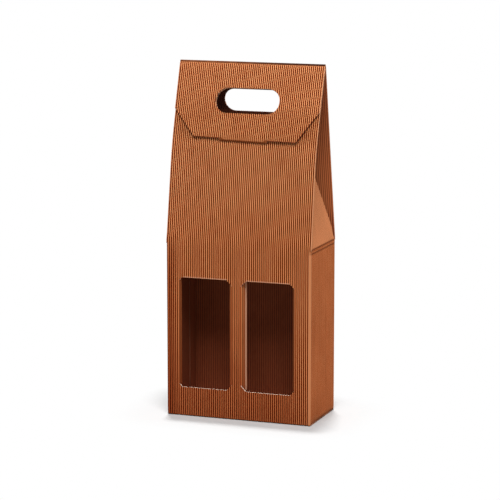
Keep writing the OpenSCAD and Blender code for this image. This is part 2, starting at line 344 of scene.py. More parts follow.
class Flow:
    """A socket of a node tree in Python expressions. Each operator on it adds one Math node."""

    def __init__(self, tree, socket=None):
        self.tree, self.socket = tree, socket

    def feed(self, socket, value):
        """Links a socket to a Flow, or gives it a plain value."""
        if isinstance(value, Flow):
            self.tree.links.new(value.socket, socket)
        elif value is not None:
            socket.default_value = value

    def node(self, kind, sockets=None, out=0, **settings):
        """Adds a node: its settings first, then the values or links of its sockets."""
        made = self.tree.nodes.new(kind)
        for key, value in settings.items():
            setattr(made, key, value)
        for key, value in (sockets or {}).items():
            self.feed(made.inputs[key], value)
        return Flow(self.tree, made.outputs[out])

    def finish(self, kind, result):
        """Adds an output node and leads a result to its first socket."""
        self.tree.links.new(result.socket, self.tree.nodes.new(kind).inputs[0])

    def math(self, operation, a, b=None):
        return self.node("ShaderNodeMath", {0: a, 1: b}, operation=operation)

    def __rsub__(self, other):
        return self.math("SUBTRACT", other, self)

    def __abs__(self):
        return self.math("ABSOLUTE", self)

    __add__ = __radd__ = math_node("ADD")
    __mul__ = __rmul__ = math_node("MULTIPLY")
    __sub__, __pow__ = math_node("SUBTRACT"), math_node("POWER")

    def step(self, low, high):
        """Smooth step from 0 at low to 1 at high."""
        ends = {"Value": self, "From Min": low, "From Max": high, "To Min": 0.0, "To Max": 1.0}
        return self.node("ShaderNodeMapRange", ends, interpolation_type="SMOOTHSTEP")

    def fall(self, low, high):
        """Smooth step from 1 at low to 0 at high."""
        return 1 - self.step(low, high)

    def band(self, low, high, end_low, end_high):
        """Smooth step up from low to high, and down again from end_low to end_high."""
        return self.step(low, high) * self.fall(end_low, end_high)

    def mix(self, low, high, blend="MIX"):
        """Colour between two colours, or the first one multiplied by the second."""
        made = self.tree.nodes.new("ShaderNodeMix")
        made.data_type, made.blend_type = "RGBA", blend
        self.feed(made.inputs[0], self)
        for socket, value in ((made.inputs[6], low), (made.inputs[7], high)):
            self.feed(socket, value if isinstance(value, Flow) else (*value, 1.0))
        return Flow(self.tree, made.outputs[2])

    def shade(self, tint, share):
        """A colour that keeps only a share of each of its parts."""
        return self.mix(tint, share, "MULTIPLY")


def flute_tree():
    """Node tree that raises the flutes of a folded sheet and gives its faces their finishes."""
    tree = bpy.data.node_groups.new("Raise flutes", "GeometryNodeTree")
    face = tree.interface
    face.new_socket("Geometry", in_out="INPUT", socket_type="NodeSocketGeometry")
    for name in ("Flute depth", "Washboard", "Uneven", "Seed"):
        face.new_socket(name, in_out="INPUT", socket_type="NodeSocketFloat")
    for name in ("Outside", "Liner", "Cut edge"):
        face.new_socket(name, in_out="INPUT", socket_type="NodeSocketMaterial")
    face.new_socket("Geometry", in_out="OUTPUT", socket_type="NodeSocketGeometry")
    g = {s.name: Flow(tree, s) for s in tree.nodes.new("NodeGroupInput").outputs if s.name}
    flow = Flow(tree)

    def attribute(name, kind="FLOAT"):
        return flow.node("GeometryNodeInputNamedAttribute", {"Name": name}, data_type=kind)

    turn = attribute("phase") * math.tau
    wave = flow.math("COSINE", turn) * 0.5 + 0.5
    plain, press = attribute("plain"), attribute("press")
    level = (1 - press) * (plain + (1 - plain) * wave)
    pressed_tone, plain_tone, press_share = 0.58, 0.62, 0.85
    tone = wave + (pressed_tone - wave) * press * press_share
    tone = tone + (plain_tone - tone) * plain
    spread = {"W": g["Seed"], "Scale": 38.0, "Detail": 3.0}
    noise = flow.node("ShaderNodeTexNoise", spread, noise_dimensions="4D")
    depth = g["Flute depth"] * (1 - g["Uneven"] * noise.step(0.35, 0.75) * (1 - plain))
    outer = attribute("outer")
    rise = outer * depth * level + (1 - outer) * g["Washboard"] * wave * (1 - plain)
    along = {0: attribute("sheet_normal", "FLOAT_VECTOR"), "Scale": rise}
    offset = flow.node("ShaderNodeVectorMath", along, operation="SCALE")
    shaped = flow.node("GeometryNodeSetPosition", {"Geometry": g["Geometry"], "Offset": offset})
    for name, value in (("crest", tone), ("wave", wave)):
        kept = {"Geometry": shaped, "Name": name, "Value": value}
        shaped = flow.node("GeometryNodeStoreNamedAttribute", kept, data_type="FLOAT", domain="POINT")
    shaped = flow.node("GeometryNodeRealizeInstances", {"Geometry": shaped})
    finish = attribute("finish", "INT")
    for kind, name in ((OUTSIDE, "Outside"), (LINER, "Liner"), (CUT, "Cut edge")):
        chosen = flow.node("FunctionNodeCompare", {2: finish, 3: kind}, data_type="INT", operation="EQUAL")
        given = {"Geometry": shaped, "Selection": chosen, "Material": g[name]}
        shaped = flow.node("GeometryNodeSetMaterial", given)
    flow.finish("NodeGroupOutput", shaped)
    return tree


def add_object(name, data):
    """New object in the scene."""
    made = bpy.data.objects.new(name, data)
    bpy.context.scene.collection.objects.link(made)
    return made


def raise_flutes(name, sheet):
    """Turns a folded sheet into the finished piece."""
    sizes, look = bpy.context.scene.carton_sizes, bpy.context.scene.card_look
    web = (sizes.card - sizes.flute) / MM
    base = add_object(name + "_flat", sheet.mesh(name + "_flat", web))
    tree = bpy.data.node_groups.get("Raise flutes") or flute_tree()
    modifier = base.modifiers.new("Raise flutes", "NODES")
    modifier.node_group = tree
    values = {
        "Flute depth": sizes.flute,
        "Washboard": look.washboard,
        "Uneven": look.uneven,
        "Seed": float(look.seed),
        "Outside": bpy.data.materials.get("fluted_card") or fluted_card(),
        "Liner": bpy.data.materials.get("liner_card") or liner_card(),
        "Cut edge": bpy.data.materials.get("cut_card") or cut_card(),
    }
    for item in tree.interface.items_tree:
        if item.in_out == "INPUT" and item.name in values:
            modifier[item.identifier] = values[item.name]
    bpy.context.view_layer.update()
    evaluated = base.evaluated_get(bpy.context.evaluated_depsgraph_get())
    mesh = bpy.data.meshes.new_from_object(evaluated)
    mesh.name = name
    piece = add_object(name, mesh)
    bpy.data.objects.remove(base)
    return piece


def start_material(name):
    """New material with an empty node tree."""
    material = bpy.data.materials.new(name)
    material.use_nodes = True
    material.node_tree.nodes.clear()
    return material, Flow(material.node_tree)


def end_material(material, flow, tint, rough, specular, relief):
    """Ends a card finish. relief is its bump: strength, depth in metres and height."""
    bump = flow.node("ShaderNodeBump", dict(zip(("Strength", "Distance", "Height"), relief)))
    values = {"Base Color": tint, "Roughness": rough, "Normal": bump, "Specular IOR Level": specular}
    flow.finish("ShaderNodeOutputMaterial", flow.node("ShaderNodeBsdfPrincipled", values))
    return material


def shown_to_view(flow):
    """1 for what the camera sees, also in gloss or through glass, and 0 for light that falls on things."""
    names = ("Is Camera Ray", "Is Glossy Ray", "Is Transmission Ray")
    camera, gloss, glass = (flow.node("ShaderNodeLightPath", out=name) for name in names)
    return flow.math("MAXIMUM", flow.math("MAXIMUM", camera, gloss), glass)


def coordinates(flow):
    """Object coordinates, together and as x, y and z."""
    place = flow.node("ShaderNodeTexCoord", out=3)
    split = flow.tree.nodes.new("ShaderNodeSeparateXYZ")
    flow.feed(split.inputs[0], place)
    return place, *(Flow(flow.tree, s) for s in split.outputs)


def card_grain(flow, stored):
    """What a finish of the card varies with: its place, blotches, fibres and values stored in the mesh."""
    place, x, y, z = coordinates(flow)
    blotch = flow.node("ShaderNodeTexNoise", {"Vector": place, "Scale": 34.0, "Detail": 4.0})
    drawn = flow.node("ShaderNodeMapping", {"Vector": place, "Scale": (900.0, 900.0, 120.0)})
    fine = {"Vector": drawn, "Scale": 1.0, "Detail": 3.0, "Roughness": 0.7}
    fibre = flow.node("ShaderNodeTexNoise", fine)
    values = {name: flow.node("ShaderNodeAttribute", out=2, attribute_name=name) for name in stored}
    return SimpleNamespace(place=place, x=x, y=y, z=z, blotch=blotch, fibre=fibre, **values)


def flute_colours(flow, g, look):
    """Colour of the flutes: painted shade in the trough, strong slope and painted highlight on the crest, or
    flat where they are pressed.
    """
    long = flow.node("ShaderNodeMapping", {"Vector": g.place, "Scale": (260.0, 260.0, 7.0)})
    streak = flow.node("ShaderNodeTexNoise", {"Vector": long, "Scale": 1.0, "Detail": 2.0})
    # painted shade in the troughs rising to a painted highlight on the crests
    tint = g.wave.step(0.25, 0.7).mix(look.trough, look.slope)
    tint = g.wave.step(0.7, 1.0).mix(tint, look.crest)
    tint = flow.math("MAXIMUM", g.plain, g.press * 0.85).mix(tint, look.flat)
    tint = (g.press * (1 - g.plain)).shade(tint, (0.94, 0.92, 0.9))
    tint = (g.blotch.step(0.35, 0.75) * 0.18).mix(tint, srgb(138, 64, 28))
    tint = (streak.step(0.45, 0.75) * 0.4).shade(tint, (0.66, 0.56, 0.5))
    return (g.fibre.step(0.35, 0.8) * g.crest * 0.12).mix(tint, look.scuff)


def painted_wall_light_and_shade(g, look, tint):
    """Painted shade low on the walls, on the left and on the flap, painted light on the gussets and painted
    shade in the creases at the shoulders.
    """
    edge, top = CARTON_HIGH.x, bpy.context.scene.carton_sizes.wall
    side = abs(g.x).step(edge - 0.0012, edge - 0.0005) * g.z.fall(top - 0.002, top)
    # painted shade, darker low on the walls, less so on the sides and towards the right
    low = g.z.fall(0.0, 0.16) * (1 - side * 0.66) * (1 - g.x.step(0.055, 0.08) * 0.5)
    tint = low.shade(tint, (0.71, 0.56, 0.49))
    # painted shade, darker on the gables towards the walls
    tint = (g.z.fall(0.17, 0.29) * (1 - side * 0.4)).shade(tint, (0.9, 0.8, 0.72))
    # painted shade across the lower part of the closing flap and the gable beside it
    tint = g.z.band(0.308, 0.313, 0.33, 0.365).shade(tint, (0.88, 0.86, 0.82))
    # painted light on the gussets, which lean up towards the lamps
    taper = 0.1834
    within = (abs(g.y) + (g.z - top) * taper).fall(0.0403, 0.0409)
    gusset = g.z.band(top + 0.0005, top + 0.003, 0.277, 0.282) * within
    tint = (gusset * g.crest.step(0.0, 0.4) * 0.6).mix(tint, look.scuff)
    # painted shade in the two creases at the foot of each gusset
    middle, apart = top - 0.0016, 0.002
    lines = abs(abs(g.z - middle) - apart).fall(0.0002, 0.001)
    crease_shade = lines * abs(g.x).step(edge - 0.0025, edge - 0.0018)
    tint = (crease_shade * (g.blotch * 0.7 + 0.2)).mix(tint, srgb(96, 40, 18))
    # painted shade towards the left end of the front and back walls
    left = g.x.fall(0.0005 - edge, -0.068) * g.z.fall(0.15, 0.23)
    return left.shade(tint, (0.6, 0.4, 0.28))


def painted_edge_light_and_shade(g, look, tint):
    """Painted highlights and shade along the edges of the gables, walls, windows, ridge and flap, and a
    darker line along the foot.
    """
    sizes, cuts = bpy.context.scene.carton_sizes, bpy.context.scene.window_sizes
    edge, top, front = CARTON_HIGH.x, sizes.wall, CARTON_LOW.y
    gable = g.z.step(top, top + 0.004)
    # painted highlight along the right edges of the gables
    tint = (g.x.step(edge - 0.0008, edge - 0.0003) * gable * 0.75).mix(tint, look.scuff)
    # painted shade along the left edges of the gables
    tint = (g.x.fall(0.0003 - edge, 0.0008 - edge) * gable * 0.5).mix(tint, srgb(104, 52, 30))
    # painted highlight down the front right corner
    corner = g.x.step(edge - 0.0035, edge - 0.0028) * g.y.fall(front + 0.002, front + 0.0035)
    tint = (corner * g.z.fall(top - 0.006, top) * 0.45).mix(tint, look.scuff)
    # painted highlight along the window tops and the flanges' free edges
    sill, lintel = cuts.sill, cuts.sill + cuts.height
    rim = g.z.band(lintel - 0.0003, lintel + 0.0002, lintel + 0.0008, lintel + 0.0014)
    rim = rim * g.y.fall(front + 0.0013, front + 0.002)
    rim = rim * abs(g.x + cuts.shift).band(0.0105, 0.0125, 0.061, 0.064)
    flange = g.y.band(front + 0.0057, front + 0.0067, front + 0.0095, front + 0.0105)
    flange = flange * abs(g.x - 0.0065).fall(0.0035, 0.0045)
    flange = flange * g.z.band(sill - 0.003, sill + 0.001, lintel - 0.001, lintel + 0.003)
    tint = (rim * 0.4 + flange * 0.6).mix(tint, srgb(226, 172, 142))
    # painted shade along the ridge, darker to the right
    ridge = g.z.step(HINGE.z - 0.0009, HINGE.z - 0.0001) * (0.65 + g.x.step(-0.06, 0.06) * 0.3)
    tint = ridge.mix(tint, srgb(50, 20, 10))
    # painted shadow line along the closing flap's lower edge
    tint = (g.inset.fall(0.35, 0.85) * 0.8).mix(tint, srgb(92, 28, 8))
    # painted shade on the tongue's bend
    half = cuts.tongue / 2
    tongue = g.inset.band(12.2, 12.6, 15.0, 15.5) * abs(g.x).fall(half - 0.0001, half + 0.0001)
    tint = (tongue * 0.9).shade(tint, (0.48, 0.34, 0.2))
    return (g.z.fall(0.0004, 0.0016) * 0.75).mix(tint, srgb(58, 24, 10))


def fluted_card():
    """Outer face: painted highlight on the crests, painted shade in the troughs, painted light and shade low
    on the walls and along the edges, rubbed crests and a dull, fibrous surface.
    """
    material, flow = start_material("fluted_card")
    look = bpy.context.scene.card_look
    g = card_grain(flow, ("crest", "wave", "plain", "press", "inset"))
    tint = painted_edge_light_and_shade(g, look, painted_wall_light_and_shade(g, look, flute_colours(flow, g, look)))
    rough = 0.84 - g.crest * 0.12 + g.fibre * 0.06
    return end_material(material, flow, tint, rough, 0.04, (0.25, 0.0004, g.fibre))


def liner_card():
    """Inner face: flat liner with the flutes showing through as stripes, painted light inside the gables and
    painted shade round the hand slot.
    """
    material, flow = start_material("liner_card")
    g = card_grain(flow, ("crest",))
    tint = (1 - g.crest).mix(bpy.context.scene.card_look.liner, srgb(70, 22, 8))
    tint = (g.blotch.step(0.25, 0.75) * 0.3).mix(tint, srgb(110, 48, 26))
    tint = (g.fibre.step(0.4, 0.8) * 0.2).mix(tint, srgb(172, 98, 62))
    # painted light on the inner gables above the walls, stronger towards their sides
    near_edge = abs(g.x).step(0.045, 0.07)
    painted_light = g.z.step(0.2, 0.24) * (0.5 + near_edge * 0.4 - g.z.step(0.26, 0.36) * 0.52)
    tint = (painted_light * (0.1 + g.crest * 0.8)).mix(tint, srgb(220, 128, 74))
    # painted shade on the inner back gable round the hand slot
    behind = g.y.step(HINGE.y - 0.001, HINGE.y + 0.002)
    slot_shade = behind * g.z.step(0.325, 0.345) * abs(g.x).fall(0.04, 0.06)
    tint = (slot_shade * 0.75).mix(tint, srgb(40, 16, 8))
    return end_material(material, flow, tint, 0.84 + g.fibre * 0.08, 0.2, (0.2, 0.0003, g.fibre))


def cut_card():
    """Cut edges: pale fibres of liner and wave, with painted shade in the hollows of the flutes between them,
    painted shade on the edges inside the side walls and beside the flap, a painted highlight on the window
    edges, and darker along the foot.
    """
    material, flow = start_material("cut_card")
    g = card_grain(flow, ("crest", "outer"))
    edge, front = CARTON_HIGH.x, CARTON_LOW.y
    # painted shade in the hollows of the flutes
    hollow = g.outer.band(0.3, 0.38, 0.68, 0.76) * g.crest.step(0.5, 0.9)
    tint = (g.fibre.step(0.3, 0.75) * 0.4).mix(bpy.context.scene.card_look.cut, srgb(206, 138, 98))
    tint = (g.blotch.step(0.35, 0.75) * 0.2).mix(tint, srgb(186, 112, 72))
    tint = (hollow * 0.5).mix(tint, srgb(120, 62, 34))
    # painted shade on the cut edges inside the side walls
    inside = abs(g.x).fall(edge - 0.0014, edge - 0.0008) * abs(g.y).fall(0.03, 0.036) * g.z.fall(0.188, 0.194)
    tint = (inside * 0.85).mix(tint, srgb(96, 40, 22))
    # painted shade on the cut edges at the sides of the closing flap and gables
    flap_edge_shade = g.z.band(0.3, 0.305, 0.3445, 0.3475) * abs(g.x).fall(edge - 0.0012, edge - 0.0007)
    tint = (flap_edge_shade * 0.94).mix(tint, srgb(84, 28, 10))
    # painted highlight on the cut edges of the windows
    window = g.y.fall(front + 0.0013, front + 0.002) * g.z.band(0.02, 0.03, 0.165, 0.175)
    tint = (window * 0.8).mix(tint, srgb(255, 232, 214))
    tint = (g.z.fall(0.001, 0.003) * 0.7).mix(tint, srgb(110, 54, 30))
    return end_material(material, flow, tint, 0.9 - hollow * 0.05, 0.15, (0.4, 0.0003, g.fibre - hollow))


class Plan:
    """The sheet's layout in millimetres, worked out from the sizes."""

    def __init__(self, scene):
        for group in (scene.carton_sizes, scene.window_sizes):
            for name in group.__annotations__:
                value = getattr(group, name)
                setattr(self, name, value if name in ("front_tilt", "gusset_lean") else round(value / MM, 3))
        self.half_in = self.depth / 2 - self.card
        self.side_in = self.width / 2 - self.card
        self.fold_out = self.fold + self.card
        self.hinge_y, self.hinge_z = HINGE.y / MM, HINGE.z / MM
        self.front_off = self.ridge_gap - self.flap_gap - self.card
        reach, rise = self.half_in - self.hinge_y, self.hinge_z - self.wall
        self.back_tilt = math.atan2(reach, rise) - math.asin(self.ridge_gap / math.hypot(reach, rise))
        self.back_run = math.sqrt(reach * reach + rise * rise - self.ridge_gap**2)
        self.tongue_drop = self.flap + self.tongue_hang
        self.bend_drop = drop = self.tongue_drop + 3.2  # down to the slight bend of the front gable
        t = self.front_tilt
        bend_y = self.hinge_y - drop * math.sin(t) - self.front_off * math.cos(t)
        bend_z = self.hinge_z - drop * math.cos(t) + self.front_off * math.sin(t)
        self.foot_tilt = math.atan2(bend_y + self.half_in, bend_z - self.wall)
        self.foot_run = math.hypot(bend_y + self.half_in, bend_z - self.wall)
        post_left, post_right = -self.shift - self.post / 2, -self.shift + self.post / 2
        self.windows = [(post_left - self.window, post_left), (post_right, post_right + self.window)]
        self.flange_folds = [(106, 60), (66, 72)]  # degrees
        self.corners = [(self.corner - 3, self.corner), (self.corner, self.corner - 1.5)]
        self.straight_x, self.straight_y = self.width / 2 - self.fold_out, self.depth / 2 - self.fold_out
        self.seam, self.flap_half = 0.4, self.width / 2 - 0.6  # of the bottom flaps

    def flutes(self, width):
        """(first crest, spacing) of the flutes across a panel."""
        run = width - 2 * (self.fold_out + PLAIN_STRIP)
        return -run / 2, run / round(run / self.pitch)

    def columns(self, width, edge, stops):
        """Places across a panel: those that its flutes need, and the stops where its outline turns."""
        first, step = self.flutes(width)
        near, fine = 0.12, step / PER_FLUTE
        count = PER_FLUTE * round(-2 * first / step)
        beyond = math.floor((edge + first) / fine)
        fixed = sorted({round(s, 4) for s in [*stops, -edge, edge, first, -first]})
        loose = [first + fine * i for i in range(-beyond, count + beyond + 1)]
        return sorted(fixed + [c for c in loose if all(abs(c - s) > near for s in fixed)])

    def inner_rows(self, foot):
        """Where the middle of a wall is cut across. The foot is where its height is counted from."""
        return [foot + z for z in (3.6, 7, 60, 120, 186, 196)]

    def wall_rows(self, foot):
        """Where the upright edges of a wall are cut across."""
        heights = (3.6, 4.8, 7, 10, 60, 120, 170, 186, 190.8, 192.2, 193.2, 194, 194.8, 195.4, 196)
        return [foot + z for z in heights]

    def cover(self, sheet, profile, foot, stops, rows, spans, place):
        """Covers the front or back with strips, which stop where its outline turns."""
        stops = [0.0] + [s * e for s in (-1, 1) for e in (self.straight_x, self.flap_half)] + stops
        columns = self.columns(self.width, self.width / 2, stops)
        rows = profile.rows(PER_BEND) + self.inner_rows(foot) + rows
        edge = self.straight_x - 12.5
        sheet.patch(columns, spans, rows, place, edge, self.wall_rows(foot))
        return rows

    def low_press(self, z):
        """Pressing of the card just above the bottom fold."""
        return FOLD_PRESS * (1 - smooth(1.5, 5.0, z))

    def plain_at(self, width, u):
        """1 in the plain strips at the upright folds of a panel, and 0 where it has flutes."""
        last = -self.flutes(width)[0]
        return smooth(last - 0.2, last + 0.4, abs(u))

    def leaning(self, profile, x, v):
        """(out, height, heading) of the front or back, upright at the foot of its gable's edges."""
        out, z, heading = profile.at(v)
        if heading > 0:
            across, above = 12, 10  # how far in and how far up it takes to lean fully
            bent = max(
                smooth(0, across, self.straight_x - abs(x)), smooth(self.wall, self.wall + above, z)
            )
            out, heading = out * bent, heading * bent
        return out, z, heading

    def under(self, profile, v, above):
        """(stretch, press) of the card at the crisp fold under a wall. above is the press past it."""
        start, end = profile.pieces[1][0], profile.pieces[2][0]
        if v <= start:
            return 1.0, FOLD_PRESS * smooth(start - 6, start, v)
        if v >= end:
            return 1.0, above
        a, side, r = (v - start) / (end - start) * math.pi / 2, self.fold_out, 0.8
        near, far = sorted((math.cos(a), math.sin(a)))
        core = side - r
        if near * side < core * far:
            reach = side / far
        else:
            both = core * (near + far)
            reach = both + math.sqrt(max(0.0, both * both - 2 * core * core + r * r))
        return (reach - self.fold) / self.card, FOLD_PRESS

    def bulge_at(self, x, s):
        """How far the front gable stands out at x and at a share s of the way up to the ridge."""
        amount = self.bulge + self.twist * x / (self.width / 2)
        return amount * math.sin(math.pi * min(max(s, 0.0), 1.0)) ** 1.2

    def flap_sag(self, x):
        """How much longer the closing flap is at x than at its left corner."""
        share = x / self.flap_tip + 0.5
        return self.flap_skew * min(max(share, 0.0), 1.0)

    def slot_hole(self, x, trim=0.0):
        """Stretch of the hand slot at x, as distances from the ridge line, or None."""
        r = self.slot_height / 2 - trim
        beyond = abs(x) - (self.slot - self.slot_height) / 2
        if beyond >= r:
            return None
        tall = r if beyond <= 0 else math.sqrt(r * r - beyond * beyond)
        return self.slot_drop - tall, self.slot_drop + tall

    def slot_stops(self, trim=0.0):
        """Places across a panel that the round ends of the hand slot need."""
        r = self.slot_height / 2 - trim
        bow = [(self.slot - self.slot_height) / 2 + r * math.sin(a * math.pi / 32) for a in range(17)]
        return bow + [-b for b in bow]

    def window_hole(self, x, window, corners):
        """Stretch of a window at x as heights, or None."""
        if not window[0] < x < window[1]:
            return None
        cut = max(soft_ramp(c - abs(x - edge), 1.2) for c, edge in zip(corners, window))
        return self.sill + cut, self.sill + self.height - cut


def without(span, holes):
    """What is left of a stretch of card when the holes are cut."""
    left, out = span[0], []
    for hole in sorted(h for h in holes if h):
        out.append((left, hole[0]))
        left = hole[1]
    return out + [(left, span[1])]


def tangent(radius, turn):
    """Length of a line from an arc's end to the corner that the arc rounds."""
    return radius * math.tan(turn / 2)


def wall_profile(plan, tilt):
    """Start of the profile of the front or back: bottom flap, crisp fold, wall and shoulder."""
    base = plan.half_in + plan.hook / 2 - plan.seam
    t = tangent(plan.shoulder, tilt)
    profile = Profile(-base, plan.card, -math.pi / 2).line(base - plan.fold).arc(plan.fold, math.pi / 2)
    foot = profile.end - profile.height
    profile.line(plan.wall - t - profile.height).arc(plan.shoulder, tilt)
    reach = np.arange(foot + plan.wall - 3, foot + plan.wall + 3, 0.005)
    shoulder = next(v for v in reach if profile.at(v)[1] >= plan.wall)
    return profile, foot, float(shoulder)


def wall_spans(plan, profile, shoulder, top, x, hooked):
    """Stretches of the front or back at x, before its holes are cut."""
    low, notch = 0.0 if hooked else plan.hook, 2.4
    fold = profile.pieces[1][0]
    if abs(x) > plan.flap_half:
        return [(shoulder, top)]
    if abs(x) > plan.straight_x:
        return [(low, fold - notch), (shoulder, top)]
    return [(low, top)]


def fold_front(sheet, plan):
    """Front wall with its windows and flanges, the gable above it and the flap below it."""
    turn = plan.front_tilt - plan.foot_tilt
    t1, t2 = tangent(plan.shoulder, plan.foot_tilt), tangent(plan.belly, turn)
    profile, foot, shoulder = wall_profile(plan, plan.foot_tilt)
    profile.line(plan.foot_run - t1 - t2).arc(plan.belly, turn)
    profile.line(plan.bend_drop - t2 - plan.front_short)
    top, ridge = profile.end, profile.end + plan.front_short
    first, step = plan.flutes(plan.width)
    slit_half, slit_low, slit_high = plan.tongue / 2 + 0.5, 0.7, plan.card + 0.5
    stiff = 2.4  # width of the strip along the top whose flutes are pressed

    def bulge(x, v):
        return plan.bulge_at(x, (v - shoulder) / (ridge - shoulder))

    def spans(x):
        whole = wall_spans(plan, profile, shoulder, top, x, x > 0)
        if len(whole) > 1 or whole[0][0] == shoulder:
            return whole
        slot = plan.slot_hole(x)
        holes = [slot and (ridge - slot[1], ridge - slot[0])]
        for window, corners in zip(plan.windows, plan.corners):
            hole = plan.window_hole(x, window, corners)
            holes.append(hole and (foot + hole[0], foot + hole[1]))
        if abs(x) < slit_half:
            under = ridge - plan.tongue_drop - plan.flap_sag(x)
            under += bulge(x, under) * math.sin(plan.front_tilt)
            holes.append((under + slit_low, under + slit_high))
        return without(whole[0], holes)

    def place(x, v):
        out, z, heading = plan.leaning(profile, x, v)
        out += bulge(x, v)
        stretch, press = plan.under(profile, v, plan.low_press(z))
        plain = plan.plain_at(plan.width, x) if z < plan.wall + 0.5 else 0.0
        if plan.sill < z < plan.sill + plan.height:
            near = min(abs(x - crease) for window in plan.windows for crease in window)
            press = max(press, 0.55 * (1 - smooth(0.2, 1.8, near)))
        press = max(press, 0.5 * smooth(top - stiff, top, v))
        normal = (0.0, -stretch * math.cos(heading), stretch * math.sin(heading))
        return (x, -plan.half_in - out, z), normal, (x - first) / step, press, plain

    stops = [slit_half, -slit_half] + plan.slot_stops()
    rows = [top - stiff / 2, top - stiff] + [shoulder + r for r in (12, 28, 50, 75)]
    for (left, right), corners in zip(plan.windows, plan.corners):
        stops += [left, right, left + corners[0], right - corners[1]]
        for corner in corners:
            rows += [foot + plan.sill + corner, foot + plan.sill + plan.height - corner]
    rows = plan.cover(sheet, profile, foot, stops, rows, spans, place)
    for window, folds, corners in zip(plan.windows, plan.flange_folds, plan.corners):
        for x, way, fold, corner in zip(window, (1, -1), folds, corners):
            fold_flange(sheet, plan, x, way, math.radians(fold), corner, rows, foot)


def fold_flange(sheet, plan, crease, way, fold, corner, rows, foot):
    """Flange along one side of a window, folded in about its crease."""
    bend = plan.fold * fold
    first, step = plan.flutes(plan.width)
    taper = 0.94

    def spans(d):
        inset = foot + plan.sill + corner - min(max(0.0, d - 0.2) * taper, corner - 0.3)
        return [(inset, 2 * (foot + plan.sill) + plan.height - inset)]

    def place(d, v):
        turned = min(d / plan.fold, fold)
        run = max(0.0, d - bend)
        x = crease + way * (plan.fold * math.sin(turned) + run * math.cos(turned))
        y = -plan.half_in + plan.fold * (1 - math.cos(turned)) + run * math.sin(turned)
        normal = (way * math.sin(turned), -math.cos(turned), 0.0)
        phase = (crease + way * d - first) / step
        return (x, y, v - foot), normal, phase, 0.55 - 0.2 * smooth(0, 1.5, d), 0.0

    columns = [bend * i / 4 for i in range(5)] + [bend + plan.flange * i / 18 for i in range(1, 19)]
    sheet.patch(columns, spans, rows, place)


def fold_back(sheet, plan):
    """Back wall, its gable up to the ridge crease and the flap below it."""
    profile, foot, shoulder = wall_profile(plan, plan.back_tilt)
    profile.line(plan.back_run - tangent(plan.shoulder, plan.back_tilt) - plan.crease)
    top, ridge = profile.end, profile.end + plan.crease
    first, step = plan.flutes(plan.width)

    def spans(x):
        whole = wall_spans(plan, profile, shoulder, top, x, x < 0)
        slot = plan.slot_hole(x, plan.slot_trim)
        return without(whole[0], [(ridge - slot[1], ridge - slot[0])]) if slot else whole

    def place(x, v):
        out, z, heading = plan.leaning(profile, x, v)
        stretch, press = plan.under(profile, v, plan.low_press(z))
        plain = plan.plain_at(plan.width, x) if z < plan.wall + 0.5 else 0.0
        press = max(press, smooth(top - 1.5, top - 0.1, v))
        normal = (0.0, stretch * math.cos(heading), stretch * math.sin(heading))
        return (x, plan.half_in + out, z), normal, (x - first) / step, press, plain

    rows = [top - s for s in (0.3, 0.6, 1.0, 1.5)]
    plan.cover(sheet, profile, foot, plan.slot_stops(plan.slot_trim), rows, spans, place)


def fold_side(sheet, plan, way):
    """Side wall with its dust flap below and its leaning gusset above."""
    profile = Profile(-plan.dust_flap, 2 * plan.card, -math.pi / 2)
    profile.line(plan.dust_flap - plan.fold).arc(plan.fold, math.pi / 2)
    foot = profile.end - profile.height
    bend_r, start, clear = 3.0, 0.3, 0.6
    profile.line(plan.wall - start - profile.height).arc(bend_r, plan.gusset_lean).line(plan.gusset)
    crease = foot + plan.wall
    slope = math.tan(max(plan.foot_tilt, plan.back_tilt))
    base = plan.half_in - clear
    half = base - plan.gusset_edge * slope
    first, step = plan.flutes(plan.depth)
    tip, taper = plan.gusset_tip / 2, 14.0

    def spans(y):
        if abs(y) > plan.straight_y - PLAIN_STRIP:
            low = profile.pieces[1][0]
        else:
            low = plan.dust_flap * (1 - min(1.0, (plan.half_in - abs(y)) / taper))
        if abs(y) > base:
            return [(low, crease)]
        lean = plan.gusset_edge + (half - abs(y)) * (plan.gusset - plan.gusset_edge) / (half - tip)
        return [(low, crease + min((base - abs(y)) / slope, lean, plan.gusset))]

    def place(y, v):
        out, z, heading = profile.at(v)
        stretch, press = plan.under(profile, v, FOLD_PRESS * (1 - smooth(3.0, 6.0, z)))
        plain = plan.plain_at(plan.depth, y) if v <= crease else 0.0
        second = plan.wall - 3.6 + 0.35 * math.sin(0.31 * y + way)
        for line, strength in ((second, 0.7), (plan.wall + start, 0.95)):
            press = max(press, strength * (1 - smooth(0.2, 1.3, abs(z - line))))
        normal = (way * stretch * math.cos(heading), 0.0, stretch * math.sin(heading))
        return (way * (plan.side_in + out), y, z), normal, (y - first) / step, press, plain

    turns = (base, half, tip, plan.straight_y - PLAIN_STRIP, plan.half_in - taper)
    stops = [s * e for s in (-1, 1) for e in turns]
    edge_rows = plan.wall_rows(foot)
    rows = profile.rows(PER_BEND) + plan.inner_rows(foot) + edge_rows[-7:]
    rows += [crease + s for s in (0.4, 0.8, 1.4, 2.2, 3.2, 30)]
    columns = plan.columns(plan.depth, plan.straight_y, stops)
    sheet.patch(columns, spans, rows, place, plan.straight_y - 1, edge_rows)


def fold_corners(sheet, plan):
    """Upright folds between the walls."""
    columns = [math.pi / 2 * i / PER_BEND for i in range(PER_BEND + 1)]
    for sx, sy in ((-1, -1), (-1, 1), (1, -1), (1, 1)):

        def place(a, z, sx=sx, sy=sy):
            dx, dy = sx * math.sin(a), sy * math.cos(a)
            point = (sx * plan.straight_x + plan.fold * dx, sy * plan.straight_y + plan.fold * dy, z)
            return point, (dx, dy, 0.0), 0.0, plan.low_press(z), 1.0

        sheet.patch(columns, lambda a: [(0.3, plan.wall)], [2.0, *plan.wall_rows(0)[:-1]], place)


